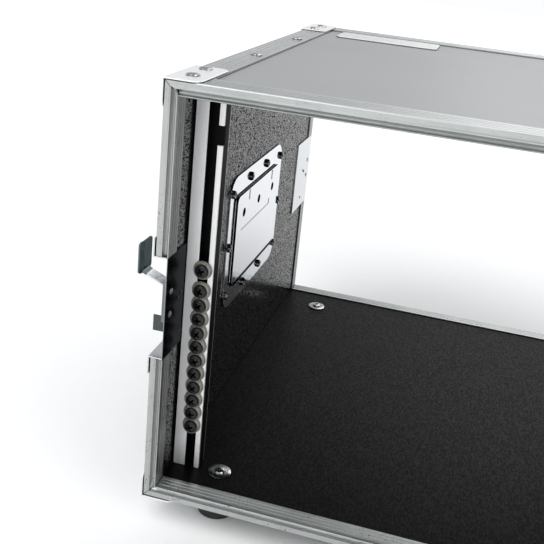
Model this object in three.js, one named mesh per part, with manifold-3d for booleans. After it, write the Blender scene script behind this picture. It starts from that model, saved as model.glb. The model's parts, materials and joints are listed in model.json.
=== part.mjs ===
// Equipment rack case, 8 units high, with both lids off: plywood panels in an aluminium frame,
// rack rails inside, recessed latches and handles in the side walls, rubber feet below.
// Millimetres, +Z up, the front opening faces -Y, the origin is on the ground under the middle.
import * as THREE from 'three';
import { mergeVertices } from 'three/addons/utils/BufferGeometryUtils.js';
import Module from 'manifold-3d';

const wasm = await Module();
wasm.setup();

// ---- driving sizes -------------------------------------------------------------------------
const RACK_UNIT = 44.45;            // one height unit of the 19-inch rack standard
const RACK_UNITS = 8;               // height units between floor and roof
const UNIT_CLEARANCE = 5.8;         // room left over the stacked units
const RACK_HOLE_PITCH = 465.1;      // across, between the fixing slots of the two rails
const BODY_DEPTH = 508;             // front opening to rear opening
const FOOT_HEIGHT = 29;             // ground to the underside of the frame

const FIT = 0.3;                    // gap left between pieces that touch
const PANEL_T = 9;                  // plywood
const SKIN_T = 1.5;                 // outer aluminium leaves
const LINER_T = 1.2;                // inner aluminium leaf of the rims
const SHEET_T = 1.2;                // pressed steel of latches, handles and corner plates

// Opening rims: a channel that takes the panel edge.
const RIM_FLANGE = 30;              // outer leaf, front to back
const RIM_LINER = 17.8;             // inner leaf, front to back
const RIM_WEB = 7;                  // from the front to the web that the panel edge meets
const RIDGE_IN = 5.2;               // outer face to the ridge on the front
const RIDGE_W = 1.1;
const RIDGE_H = 1.0;                // the ridge stands this far in front of the outer band
const GROOVE_D = 3.4;               // depth of the hollow between ridge and inner lip
const RIB_D = 0.35;                 // depth of the fine lines along the leaves
const RIB_W = 0.9;

// Edge angles and corner plates.
const ANGLE_LEG = 30;
const EDGE_ROUND = 1.6;
const CORNER_LENGTH = 72;
const CORNER_TOP_LEG = 30;
const CORNER_SIDE_LEG = 24;
const CORNER_ROUND = 8;

// Rack rails, seen from above: a wall leaf, a slotted face and a nut channel behind the slot.
const RAIL_SETBACK = 42;            // rim front to rail face
const RAIL_GAP = 0.4;               // rail to the latch dishes and rim leaves beside it
const RAIL_T = 1.8;
const RAIL_FACE_OUT = 11.2;         // wall edge of the rail to the slot
const RAIL_SLOT = 9.4;
const RAIL_FACE_IN = 4.6;           // slot to the rail's free edge
const RAIL_CHANNEL = 15.4;          // face to back of the nut channel
const RAIL_NUT_ROOM = 15;           // width inside the nut channel
const RAIL_LEAF = 34;               // wall leaf, front to back
const RAIL_NOTCH = 17;              // height of the notch where nuts are put in
const RAIL_NOTCH_TOP = 40;          // case top to the top of the notch
const RAIL_NOTCH_BACK = 5;

// Rack screws, each with a cup washer and a sliding nut.
const SCREWS = 12;
const SCREW_PITCH = 13.8;
const SCREW_FIRST = 58;             // case underside to the lowest screw
const SCREW_LAST_EXTRA = 5.6;       // the top screw stands a little away from the others
const SCREW_HEAD_R = 6.1;
const SCREW_HEAD_H = 3.6;
const SCREW_SHANK_R = 2.9;
const CUP_R = 8.7;
const CUP_H = 3.2;
const NUT_PLAY = 0.7;               // each side of a nut in its channel
const NUT_T = 6;

// Recessed twist latches. Along the wall a latch has an outward, a backward and an upward side.
const LATCH_DROP = 2.5;             // case mid-height to the latch's own middle
const LATCH_HALF = 47.5;            // half the height of the pressed pocket
const LATCH_DEEP = 71;              // opening edge to the back of the pocket
const LATCH_LIP = 16;               // flange round the pocket, on the outside
const LATCH_ROUND = 12;
const SPINDLE_BACK = 32;            // opening edge to the spindle
const CRANK_THROW = 7;
const CRANK_R = 6;
const PIVOT_R = 4;
const PIVOT_H = 1.8;
const CRANK_H = 2.2;
const HOOK_T = 1.6;
const HOOK_HALF = 18;
const HOOK_NOSE_BACK = 12;          // opening edge to the hook's nose when it is drawn in
const HOOK_NOSE_H = 3.2;
const HOOK_TAIL = 4;
const HOOK_PLAY = 1.7;              // the crank turns in a circle, the hook runs straight
const TURN_HALF = 9;
const TURN_T = 1.5;
const TURN_DOWN = 33;
const TURN_TAB = 15;
const TURN_TAB_H = 13;
const WING_HINGE_UP = 9;
const WING_PIN_R = 2.1;
const WING_T = 1.5;
const WING_ROOT = 26.4;             // hinge to the foot of the grip plate
const WING_GRIP = 27.6;             // height of the grip plate
const WING_RAISED = 66;             // degrees the root stands open at rest, with the grip plate upright
const WING_ROOT_HALF = 7;
const WING_GRIP_HALF = 12;
const WING_CORNER = 3;
const WING_CREASE_BACK = 4;         // middle of the grip plate to its crease
const WING_CREASE = 8;              // degrees its outer third is folded away from the wall

// Recessed spring handles.
const HANDLE_DROP = 2.7;
const HANDLE_PLATE_L = 190;
const HANDLE_PLATE_H = 145;
const HANDLE_ROUND = 20;
const HANDLE_PAN_L = 150;
const HANDLE_PAN_H = 97;
const HANDLE_PAN_ROUND = 6;
const HANDLE_PAN_RAISE = 2.7;       // the back plate's pan stands this far off its flange
const HANDLE_HOLE_R = 5;
const HANDLE_HOLE_PITCH = 53;
const HANDLE_HOLE_UP = 28;
const BAIL_ROD_R = 3.4;
const BAIL_LEG_IN = 17;             // end of the pan to the centre of a bail leg
const BAIL_PIVOT_DOWN = 12.5;       // top of the pan to the pivot
const GRIP_OVER_BOTTOM = 22.5;      // bottom of the pan to the middle of the hanging grip
const BAIL_DEEP = 6;                // outer face to the bail's own plane
const BAIL_BEND_R = 9;
const GRIP_R = 5.4;
const GRIP_FROM_LEG = 12;           // end of the grip to the centre of a bail leg
const PIN_PLAY = 0.4;

// Feet and label plate.
const FOOT_R = 20;
const FOOT_R_GROUND = 18.5;
const FOOT_ROUND = 2;
const FOOT_SINK_R = 8;
const FOOT_SINK_D = 9;
const FOOT_IN = 58.7;               // side of the case to the foot's middle
const FOOT_BACK_FRONT = 45;
const FOOT_BACK_REAR = 58;
const LABEL_L = 123;
const LABEL_W = 50;
const LABEL_T = 1.5;
const LABEL_CUT = 4;
const LABEL_FROM_SIDE = 47;
const LABEL_FROM_REAR = 38;

// ---- sizes that follow ---------------------------------------------------------------------
const RIM_T = SKIN_T + FIT + PANEL_T + FIT + LINER_T;
const PANEL_OUT = SKIN_T + FIT;
const PANEL_IN = PANEL_OUT + PANEL_T;
const RAIL_W = RAIL_FACE_OUT + RAIL_SLOT + RAIL_FACE_IN;
const RAIL_EDGE = RIM_T + RAIL_GAP;
const SLOT_MIDDLE = RAIL_EDGE + RAIL_FACE_OUT + RAIL_SLOT / 2;
const CHANNEL_MIDDLE = RAIL_EDGE + RAIL_W - RAIL_T - RAIL_NUT_ROOM / 2;
const NUT_W = RAIL_NUT_ROOM - 2 * NUT_PLAY;
const BAIL_HALF = HANDLE_PAN_L / 2 - BAIL_LEG_IN;
const BAIL_PIVOT_UP = HANDLE_PAN_H / 2 - BAIL_PIVOT_DOWN;
const BAIL_DROP = HANDLE_PAN_H - BAIL_PIVOT_DOWN - GRIP_OVER_BOTTOM;
const GRIP_HALF = BAIL_HALF - GRIP_FROM_LEG;
const HALF_W = RACK_HOLE_PITCH / 2 + SLOT_MIDDLE;
const HALF_D = BODY_DEPTH / 2;
const HALF_H = (RACK_UNITS * RACK_UNIT + UNIT_CLEARANCE) / 2 + RIM_T;

const ALUMINIUM = { color: 0xc9ccce, roughness: 0.35, metalness: 0.9 };
const ZINC = { color: 0xb9bdc0, roughness: 0.3, metalness: 0.9 };
const LAMINATE_GREY = { color: 0x77777b, roughness: 0.6, metalness: 0 };
const LAMINATE_DARK = { color: 0x2b2826, roughness: 0.65, metalness: 0 };
const BLACK_STEEL = { color: 0x1c1c1e, roughness: 0.4, metalness: 0.7 };
const RUBBER = { color: 0x141414, roughness: 0.85, metalness: 0 };

// ---- making and cutting solids ---------------------------------------------------------------
function box(low, high) {
  const size = high.map((value, i) => value - low[i]);
  const middle = high.map((value, i) => (value + low[i]) / 2);
  return new THREE.BoxGeometry(...size).translate(...middle);
}

function shapeOf(points) {
  return new THREE.Shape(points.map(([x, y]) => new THREE.Vector2(x, y)));
}

function prism(points, length) {
  return new THREE.ExtrudeGeometry(shapeOf(points), { depth: length, bevelEnabled: false });
}

function arcPoints(middle, radius, from, to, steps) {
  const points = [];
  for (let i = 0; i <= steps; i += 1) {
    const angle = THREE.MathUtils.degToRad(from + (to - from) * i / steps);
    points.push([middle[0] + radius * Math.cos(angle), middle[1] + radius * Math.sin(angle)]);
  }
  return points;
}

function roundedOutline(low, high, radii, steps = 4) {
  const [x0, y0] = low;
  const [x1, y1] = high;
  const corners = [[x1, y0, -90], [x1, y1, 0], [x0, y1, 90], [x0, y0, 180]];
  return corners.flatMap(([x, y, from], i) => {
    const r = radii[i];
    if (r === 0) return [[x, y]];
    const middle = [x === x1 ? x - r : x + r, y === y1 ? y - r : y + r];
    return arcPoints(middle, r, from, from + 90, steps);
  });
}

function solidOf(geometry) {
  const bare = new THREE.BufferGeometry();
  bare.setAttribute('position', geometry.getAttribute('position').clone());
  if (geometry.index) bare.setIndex(geometry.index.clone());
  const merged = mergeVertices(bare, 1e-4);
  return new wasm.Manifold(new wasm.Mesh({
    numProp: 3,
    vertProperties: new Float32Array(merged.getAttribute('position').array),
    triVerts: new Uint32Array(merged.index.array),
  }));
}

function geometryOf(solid) {
  const mesh = solid.getMesh();
  const geometry = new THREE.BufferGeometry();
  geometry.setAttribute('position', new THREE.BufferAttribute(new Float32Array(mesh.vertProperties), 3));
  geometry.setIndex(new THREE.BufferAttribute(new Uint32Array(mesh.triVerts), 1));
  return geometry;
}

function join(...geometries) {
  return geometryOf(geometries.map(solidOf).reduce((whole, piece) => whole.add(piece)));
}

function cut(geometry, ...tools) {
  return geometryOf(tools.map(solidOf).reduce((whole, tool) => whole.subtract(tool), solidOf(geometry)));
}

function keep(geometry, tool) {
  return geometryOf(solidOf(geometry).intersect(solidOf(tool)));
}

// Lays a prism's X, Y and Z along three world directions.
function along(geometry, xDirection, yDirection, zDirection) {
  const basis = [xDirection, yDirection, zDirection].map((d) => new THREE.Vector3(...d));
  return reflected(geometry, new THREE.Matrix4().makeBasis(...basis));
}

function mirrored(geometry, signs) {
  return reflected(geometry.clone(), new THREE.Matrix4().makeScale(...signs));
}

// Applies a matrix, and turns the faces round again if it was a reflection.
function reflected(geometry, matrix) {
  geometry.applyMatrix4(matrix);
  if (matrix.determinant() > 0) return geometry;
  const flipped = mergeVertices(new THREE.BufferGeometry()
    .setAttribute('position', geometry.getAttribute('position'))
    .setIndex(geometry.index), 1e-4);
  const index = flipped.index.array;
  for (let i = 0; i < index.length; i += 3) [index[i], index[i + 1]] = [index[i + 1], index[i]];
  return flipped;
}

// A cylinder along X, from one X to another.
function discX(radius, from, to, sides, y = 0, z = 0) {
  return new THREE.CylinderGeometry(radius, radius, to - from, sides)
    .rotateZ(Math.PI / 2)
    .translate((from + to) / 2, y, z);
}

const caseGroup = new THREE.Group();
caseGroup.position.z = FOOT_HEIGHT + HALF_H;

function addPiece(group, name, geometry, look) {
  const mesh = new THREE.Mesh(geometry, new THREE.MeshStandardMaterial(look));
  mesh.geometry.computeVertexNormals();
  mesh.name = name;
  group.add(mesh);
}

const SIDES = [{ name: 'left', x: -1 }, { name: 'right', x: 1 }];
const ENDS = [{ name: 'front', y: -1 }, { name: 'rear', y: 1 }];
const LEVELS = [{ name: 'top', z: 1 }, { name: 'bottom', z: -1 }];

// ---- panels ----------------------------------------------------------------------------------
// Laminated plywood. Roof and floor run the full width, the side walls stand between them.
const PANEL_HALF_D = HALF_D - RIM_WEB - FIT;
const WALL_HALF_H = HALF_H - PANEL_IN - FIT;

function flatPanel() {
  return box([-HALF_W + PANEL_OUT, -PANEL_HALF_D, HALF_H - PANEL_IN],
    [HALF_W - PANEL_OUT, PANEL_HALF_D, HALF_H - PANEL_OUT]);
}

// The left wall, with the openings for its two latches and its handle.
function sideWall() {
  const wall = box([-HALF_W + PANEL_OUT, -PANEL_HALF_D, -WALL_HALF_H],
    [-HALF_W + PANEL_IN, PANEL_HALF_D, WALL_HALF_H]);
  const openingHalf = LATCH_HALF + FIT;
  const openingDeep = LATCH_DEEP + FIT;
  const latchOpenings = ENDS.map((end) => {
    const near = end.y * (HALF_D - openingDeep);
    const far = end.y * (HALF_D + 1);
    return box([-HALF_W - 1, Math.min(near, far), -LATCH_DROP - openingHalf],
      [-HALF_W + RIM_T, Math.max(near, far), -LATCH_DROP + openingHalf]);
  });
  const handleOpening = box(
    [-HALF_W - 1, -HANDLE_PAN_L / 2 - FIT, -HANDLE_DROP - HANDLE_PAN_H / 2 - FIT],
    [-HALF_W + RIM_T, HANDLE_PAN_L / 2 + FIT, -HANDLE_DROP + HANDLE_PAN_H / 2 + FIT]);
  return cut(wall, ...latchOpenings, handleOpening);
}

addPiece(caseGroup, 'top_panel', flatPanel(), LAMINATE_GREY);
addPiece(caseGroup, 'floor_panel', mirrored(flatPanel(), [1, 1, -1]), LAMINATE_DARK);
for (const side of SIDES) {
  addPiece(caseGroup, `side_panel_${side.name}`, mirrored(sideWall(), [-side.x, 1, 1]), LAMINATE_DARK);
}

// ---- opening rims ----------------------------------------------------------------------------
// A straight run of an outline with shallow square lines cut into it, on its left-hand side.
function ribbedRun(from, to, count) {
  const start = new THREE.Vector2(...from);
  const end = new THREE.Vector2(...to);
  const way = end.clone().sub(start).normalize();
  const inward = new THREE.Vector2(-way.y, way.x).multiplyScalar(RIB_D);
  const points = [start];
  for (let i = 1; i <= count; i += 1) {
    const middle = start.clone().lerp(end, i / (count + 1));
    const near = middle.clone().addScaledVector(way, -RIB_W / 2);
    const far = middle.clone().addScaledVector(way, RIB_W / 2);
    points.push(near, near.clone().add(inward), far.clone().add(inward), far);
  }
  points.push(end);
  return points.map((p) => [p.x, p.y]);
}

// Section of a rim: X runs in from the outer face, Y runs back from the front.
function rimSection() {
  const ridgeEnd = RIDGE_IN + RIDGE_W;
  const lip = RIM_T - LINER_T;
  const grooveMiddle = (ridgeEnd + lip) / 2;
  const grooveHalf = (lip - ridgeEnd) / 2;
  const hollow = arcPoints([0, 0], 1, 180, 360, 6).map(
    ([x, y]) => [grooveMiddle + grooveHalf * x, RIDGE_H - GROOVE_D * y]);
  return [
    [0, RIM_FLANGE],
    [SKIN_T, RIM_FLANGE],
    [SKIN_T, RIM_WEB],
    [lip, RIM_WEB],
    [lip, RIM_LINER],
    ...ribbedRun([RIM_T, 1.4], [RIM_T, RIM_LINER], 3).reverse(),
    [RIM_T - 0.4, 0.4],
    [lip, 0],
    ...hollow.reverse(),
    [ridgeEnd, 0],
    [RIDGE_IN, 0],
    [RIDGE_IN - 0.6, RIDGE_H],
    [0.8, RIDGE_H],
    ...ribbedRun([0, RIM_FLANGE - 1], [0, RIDGE_H + 0.8], 4).reverse(),
  ];
}

// Where the upright rim ends at a corner: a mitre as far as the ridge, then either a rounded end
// or more mitre. Behind the web it is a mitre all over, clear of the panels. The region is drawn
// for the top left corner, in the plane of the opening.
function uprightRegion(rounded, shift) {
  const ridge = RIDGE_IN;
  const reach = RIM_T - ridge;
  const mitre = [[ridge, ridge], [RIM_T, RIM_T]];
  const inner = rounded ? arcPoints([ridge, RIM_T], reach, -90, 0, 6) : mitre;
  const slab = (line, front, back) => {
    const outline = [[-3, -3], ...line, [RIM_T + 3, RIM_T + 3], [RIM_T + 3, 2 * HALF_H], [-3, 2 * HALF_H]];
    const points = outline.map(([x, down]) => [-HALF_W + x + shift, HALF_H - down + shift]);
    return along(prism(points, back - front), [1, 0, 0], [0, 0, 1], [0, -1, 0])
      .translate(0, -HALF_D + back, 0);
  };
  return join(slab(inner, -RIM_WEB, RIM_WEB), slab(mitre, RIM_WEB, 2 * RIM_FLANGE));
}

// The front rim along the top; its ends are cut to meet the uprights.
function topRim(rounded) {
  const bar = along(prism(rimSection(), 2 * HALF_W), [0, 0, -1], [0, 1, 0], [1, 0, 0])
    .translate(-HALF_W, -HALF_D, HALF_H);
  const left = uprightRegion(rounded, FIT / 2);
  return cut(bar, left, mirrored(left, [-1, 1, 1]));
}

// The left front upright, from the latch to the top corner.
function uprightRim(rounded, latchEdge) {
  const bar = prism(rimSection(), HALF_H - latchEdge).translate(-HALF_W, -HALF_D, latchEdge);
  return keep(bar, uprightRegion(rounded, -FIT / 2));
}

const latchTopEdge = -LATCH_DROP + LATCH_HALF + FIT;
const latchBottomEdge = LATCH_DROP + LATCH_HALF + FIT;
for (const end of ENDS) {
  addPiece(caseGroup, `rim_${end.name}_top`, mirrored(topRim(true), [1, -end.y, 1]), ALUMINIUM);
  addPiece(caseGroup, `rim_${end.name}_bottom`, mirrored(topRim(false), [1, -end.y, -1]), ALUMINIUM);
  for (const side of SIDES) {
    const upper = mirrored(uprightRim(true, latchTopEdge), [-side.x, -end.y, 1]);
    const lower = mirrored(uprightRim(false, latchBottomEdge), [-side.x, -end.y, -1]);
    addPiece(caseGroup, `rim_${end.name}_${side.name}_upper`, upper, ALUMINIUM);
    addPiece(caseGroup, `rim_${end.name}_${side.name}_lower`, lower, ALUMINIUM);
  }
}

// ---- edge angles and corner plates -------------------------------------------------------------
// The angle over the top left edge, between the two rims.
function edgeAngle() {
  const section = [
    [EDGE_ROUND, 0],
    ...ribbedRun([EDGE_ROUND + 1, 0], [ANGLE_LEG - 1, 0], 4),
    [ANGLE_LEG, 0],
    [ANGLE_LEG, SKIN_T],
    [SKIN_T, SKIN_T],
    [SKIN_T, ANGLE_LEG],
    [0, ANGLE_LEG],
    ...ribbedRun([0, ANGLE_LEG - 1], [0, EDGE_ROUND + 1], 4),
    [0, EDGE_ROUND],
    [EDGE_ROUND * 0.3, EDGE_ROUND * 0.3],
  ];
  const length = BODY_DEPTH - 2 * (RIM_FLANGE + FIT);
  return along(prism(section, length), [1, 0, 0], [0, 0, -1], [0, 1, 0])
    .translate(-HALF_W, -length / 2, HALF_H);
}

// The pressed plate over the top left front corner, outside rim and angle.
function cornerPlate() {
  const out = FIT + SHEET_T;
  const topOutline = roundedOutline([-out, 0], [CORNER_TOP_LEG, CORNER_LENGTH],
    [CORNER_ROUND, CORNER_ROUND, 0, 0]);
  const top = prism(topOutline, SHEET_T).translate(0, 0, FIT);
  const sideOutline = roundedOutline([-CORNER_SIDE_LEG, 0], [out, CORNER_LENGTH],
    [0, 0, CORNER_ROUND, CORNER_ROUND]);
  const side = along(prism(sideOutline, SHEET_T), [0, 0, 1], [0, 1, 0], [-1, 0, 0]).translate(-FIT, 0, 0);
  return join(top, side).translate(-HALF_W, -HALF_D, HALF_H);
}

for (const level of LEVELS) {
  for (const side of SIDES) {
    const angle = mirrored(edgeAngle(), [-side.x, 1, level.z]);
    addPiece(caseGroup, `edge_angle_${level.name}_${side.name}`, angle, ALUMINIUM);
    for (const end of ENDS) {
      const plate = mirrored(cornerPlate(), [-side.x, -end.y, level.z]);
      addPiece(caseGroup, `corner_plate_${level.name}_${end.name}_${side.name}`, plate, ZINC);
    }
  }
}

// ---- rack rails and their screws ---------------------------------------------------------------
const RAIL_HALF_H = HALF_H - PANEL_IN - 2 * FIT;
const RAIL_FACE_Y = -HALF_D + RAIL_SETBACK;

function rackRail() {
  const channelFrom = RAIL_W - RAIL_T - RAIL_NUT_ROOM;
  const section = [
    [0, 0],
    [RAIL_FACE_OUT, 0],
    [RAIL_FACE_OUT, RAIL_T],
    [channelFrom, RAIL_T],
    [channelFrom, RAIL_CHANNEL - RAIL_T],
    [RAIL_W - RAIL_T, RAIL_CHANNEL - RAIL_T],
    [RAIL_W - RAIL_T, RAIL_T],
    [RAIL_W - RAIL_FACE_IN, RAIL_T],
    [RAIL_W - RAIL_FACE_IN, 0],
    [RAIL_W, 0],
    [RAIL_W, RAIL_CHANNEL],
    [channelFrom - RAIL_T, RAIL_CHANNEL],
    [channelFrom - RAIL_T, RAIL_T],
    [RAIL_T, RAIL_T],
    [RAIL_T, RAIL_LEAF],
    [0, RAIL_LEAF],
  ];
  const bar = prism(section, 2 * RAIL_HALF_H).translate(-HALF_W + RAIL_EDGE, RAIL_FACE_Y, -RAIL_HALF_H);
  const notchTop = HALF_H - RAIL_NOTCH_TOP;
  const notch = box([-HALF_W + SLOT_MIDDLE, RAIL_FACE_Y - 1, notchTop - RAIL_NOTCH],
    [-HALF_W + RAIL_EDGE + RAIL_W + 1, RAIL_FACE_Y + RAIL_NOTCH_BACK, notchTop]);
  return cut(bar, notch);
}

// Section of a screw in its cup washer: radius against distance in front of the rail face.
function screwProfile() {
  const back = -(RAIL_T + FIT + NUT_T / 2);
  const points = [
    [0, back],
    [SCREW_SHANK_R, back],
    [SCREW_SHANK_R, FIT],
    [CUP_R, FIT],
    [CUP_R - 1.2, CUP_H],
    [SCREW_HEAD_R, CUP_H],
    [SCREW_HEAD_R * 0.8, CUP_H + SCREW_HEAD_H],
    [0, CUP_H + SCREW_HEAD_H],
  ];
  return points.map(([r, y]) => new THREE.Vector2(r, y));
}

// All twelve screws of the left rail with their sliding nuts, which stand in one row.
function screwSet() {
  const heights = [];
  for (let i = 0; i < SCREWS; i += 1) {
    const last = i === SCREWS - 1;
    heights.push(-HALF_H + SCREW_FIRST + i * SCREW_PITCH + (last ? SCREW_LAST_EXTRA : 0));
  }
  const screws = heights.map((z) => new THREE.LatheGeometry(screwProfile(), 12)
    .rotateX(Math.PI)
    .translate(0, 0, z));
  const nutsLow = heights[0] - SCREW_PITCH / 2;
  const nutsHigh = heights[SCREWS - 1] + SCREW_PITCH / 2;
  const nutsMiddle = CHANNEL_MIDDLE - SLOT_MIDDLE;
  const nuts = box([nutsMiddle - NUT_W / 2, RAIL_T + FIT, nutsLow],
    [nutsMiddle + NUT_W / 2, RAIL_T + FIT + NUT_T, nutsHigh]);
  return join(nuts, ...screws).translate(-HALF_W + SLOT_MIDDLE, RAIL_FACE_Y, 0);
}

for (const side of SIDES) {
  addPiece(caseGroup, `rack_rail_${side.name}`, mirrored(rackRail(), [-side.x, 1, 1]), ALUMINIUM);
  addPiece(caseGroup, `rack_screws_${side.name}`, mirrored(screwSet(), [-side.x, 1, 1]), BLACK_STEEL);
}

// ---- latches -------------------------------------------------------------------------------
// Each latch is drawn for the left wall at the front: +X runs into the case from the rim's outer
// face, +Y runs back from the opening and +Z runs up from the latch's middle.
const POCKET_FLOOR = RIM_T - SHEET_T;
const CRANK_LOW = POCKET_FLOOR - FIT - PIVOT_H;
const CRANK_TOP = CRANK_LOW - CRANK_H;
const HOOK_LOW = CRANK_LOW - FIT;
const TURN_LOW = CRANK_TOP;
const TURN_TOP = TURN_LOW - TURN_T;
const HINGE_X = TURN_TOP - WING_PIN_R - 2 * FIT;

function latchDish() {
  const inner = LATCH_HALF - SHEET_T;
  const shell = box([-FIT, 0, -LATCH_HALF], [RIM_T, LATCH_DEEP, LATCH_HALF]);
  const outline = roundedOutline([0, -LATCH_HALF - LATCH_LIP], [LATCH_DEEP + LATCH_LIP, LATCH_HALF + LATCH_LIP],
    [LATCH_ROUND, LATCH_ROUND, 0, 0]);
  const flange = along(prism(outline, SHEET_T), [0, 1, 0], [0, 0, 1], [1, 0, 0])
    .translate(-FIT - SHEET_T, 0, 0);
  const hollow = box([-FIT - SHEET_T - 1, -1, -inner], [POCKET_FLOOR, LATCH_DEEP - SHEET_T, inner]);
  return cut(join(shell, flange), hollow);
}

function latchSpindle() {
  const pivot = discX(PIVOT_R, CRANK_LOW, CRANK_LOW + PIVOT_H, 16);
  const crank = discX(CRANK_R, CRANK_TOP, CRANK_LOW, 16, CRANK_THROW, 0);
  const earTop = HINGE_X - WING_PIN_R - 1;
  const plate = box([TURN_TOP, -TURN_HALF, -TURN_DOWN], [TURN_LOW, TURN_HALF, WING_HINGE_UP + WING_PIN_R + 1]);
  const tab = box([TURN_TOP - TURN_TAB_H, -TURN_HALF, -TURN_DOWN],
    [TURN_TOP, -TURN_HALF + TURN_T, -TURN_DOWN + TURN_TAB]);
  const ears = [-1, 1].map((way) => {
    const near = way * TURN_HALF;
    const far = way * (TURN_HALF - TURN_T);
    return box([earTop, Math.min(near, far), WING_HINGE_UP - WING_PIN_R - 1],
      [TURN_TOP, Math.max(near, far), WING_HINGE_UP + WING_PIN_R + 1]);
  });
  return join(pivot, crank, plate, tab, ...ears).translate(0, SPINDLE_BACK, 0);
}

function latchHook() {
  const crankMiddle = SPINDLE_BACK + CRANK_THROW;
  const slotHalfBack = CRANK_R + HOOK_PLAY;
  const slotHalfUp = CRANK_R + CRANK_THROW + FIT;
  const tail = crankMiddle + slotHalfBack + HOOK_TAIL;
  const plate = box([HOOK_LOW - HOOK_T, HOOK_NOSE_BACK, -HOOK_HALF], [HOOK_LOW, tail, HOOK_HALF]);
  const nose = box([HOOK_LOW - HOOK_T - HOOK_NOSE_H, HOOK_NOSE_BACK, -HOOK_HALF],
    [HOOK_LOW - HOOK_T, HOOK_NOSE_BACK + HOOK_T, HOOK_HALF]);
  const slot = box([0, crankMiddle - slotHalfBack, -slotHalfUp], [RIM_T, crankMiddle + slotHalfBack, slotHalfUp]);
  return cut(join(plate, nose), slot);
}

// The folding wing: a root on the hinge pin and a creased grip plate bent back from the root's end.
// It is drawn with the root straight up and then swung out, which brings the grip plate upright.
function latchWing() {
  const pin = new THREE.CylinderGeometry(WING_PIN_R, WING_PIN_R, 2 * (TURN_HALF - TURN_T - FIT), 12);
  const root = box([-WING_T / 2, -WING_ROOT_HALF, 0], [WING_T / 2, WING_ROOT_HALF, WING_ROOT]);
  const facet = (from, to, radii) => along(
    prism(roundedOutline([from, -WING_T], [to, WING_GRIP], radii), WING_T), [0, 1, 0], [0, 0, 1], [1, 0, 0])
    .translate(-WING_T / 2, 0, 0);
  const inner = facet(-WING_CREASE_BACK, WING_GRIP_HALF, [WING_CORNER, WING_CORNER, 0, 0]);
  const outer = facet(-WING_GRIP_HALF, -WING_CREASE_BACK + FIT, [0, 0, WING_CORNER, WING_CORNER])
    .translate(0, WING_CREASE_BACK, 0)
    .rotateZ(-THREE.MathUtils.degToRad(WING_CREASE))
    .translate(0, -WING_CREASE_BACK, 0);
  const grip = join(inner, outer)
    .rotateY(THREE.MathUtils.degToRad(WING_RAISED))
    .translate(0, 0, WING_ROOT);
  return join(pin, root, grip)
    .rotateY(-THREE.MathUtils.degToRad(WING_RAISED))
    .translate(HINGE_X, SPINDLE_BACK, WING_HINGE_UP);
}

for (const end of ENDS) {
  for (const side of SIDES) {
    const latch = new THREE.Group();
    latch.position.set(side.x * HALF_W, end.y * HALF_D, -LATCH_DROP);
    caseGroup.add(latch);
    const place = `${end.name}_${side.name}`;
    const signs = [-side.x, -end.y, 1];
    addPiece(latch, `latch_dish_${place}`, mirrored(latchDish(), signs), ZINC);
    addPiece(latch, `latch_spindle_${place}`, mirrored(latchSpindle(), signs), ZINC);
    addPiece(latch, `latch_hook_${place}`, mirrored(latchHook(), signs), ZINC);
    addPiece(latch, `latch_wing_${place}`, mirrored(latchWing(), signs), ZINC);
  }
}

// ---- handles ---------------------------------------------------------------------------------
// Drawn for the left wall: +X runs into the case from the rim's outer face, the origin is at the
// middle of the handle.
const HANDLE_BACK_FLANGE = PANEL_IN + FIT;
const HANDLE_FLOOR = HANDLE_BACK_FLANGE + HANDLE_PAN_RAISE - FIT;

function wallPlate(length, height, round, from, thickness) {
  const outline = roundedOutline([-length / 2, -height / 2], [length / 2, height / 2],
    [round, round, round, round]);
  return along(prism(outline, thickness), [0, 1, 0], [0, 0, 1], [1, 0, 0]).translate(from, 0, 0);
}

// The pocket that the bail folds into, with its flange on the outside of the wall.
function handleDish() {
  const flange = wallPlate(HANDLE_PLATE_L, HANDLE_PLATE_H, HANDLE_ROUND, PANEL_OUT - FIT - SHEET_T, SHEET_T);
  const shell = wallPlate(HANDLE_PAN_L, HANDLE_PAN_H, HANDLE_PAN_ROUND, PANEL_OUT - FIT - SHEET_T,
    HANDLE_FLOOR - PANEL_OUT + FIT + SHEET_T);
  const hollow = wallPlate(HANDLE_PAN_L - 2 * SHEET_T, HANDLE_PAN_H - 2 * SHEET_T,
    HANDLE_PAN_ROUND - SHEET_T, -5, HANDLE_FLOOR - SHEET_T + 5);
  const pinHole = new THREE.CylinderGeometry(BAIL_ROD_R + PIN_PLAY, BAIL_ROD_R + PIN_PLAY,
    HANDLE_PAN_L + 2, 16).translate(BAIL_DEEP, 0, BAIL_PIVOT_UP);
  return cut(join(flange, shell), hollow, pinHole);
}

// The plate that backs the handle inside the case, with a raised pan and three holes.
function handleBackPlate() {
  const flange = wallPlate(HANDLE_PLATE_L, HANDLE_PLATE_H, HANDLE_ROUND, HANDLE_BACK_FLANGE, SHEET_T);
  const panHalf = 2 * (SHEET_T + FIT);
  const pan = wallPlate(HANDLE_PAN_L + panHalf, HANDLE_PAN_H + panHalf, HANDLE_PAN_ROUND,
    HANDLE_BACK_FLANGE, HANDLE_PAN_RAISE + SHEET_T);
  const hollow = wallPlate(HANDLE_PAN_L + 2 * FIT, HANDLE_PAN_H + 2 * FIT, HANDLE_PAN_ROUND,
    HANDLE_BACK_FLANGE - 1, HANDLE_PAN_RAISE + 1);
  const holes = [-1, 0, 1].map((i) => discX(HANDLE_HOLE_R, HANDLE_BACK_FLANGE, HANDLE_BACK_FLANGE + 20, 16,
    i * HANDLE_HOLE_PITCH, HANDLE_HOLE_UP));
  return cut(join(flange, pan), hollow, ...holes);
}

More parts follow.
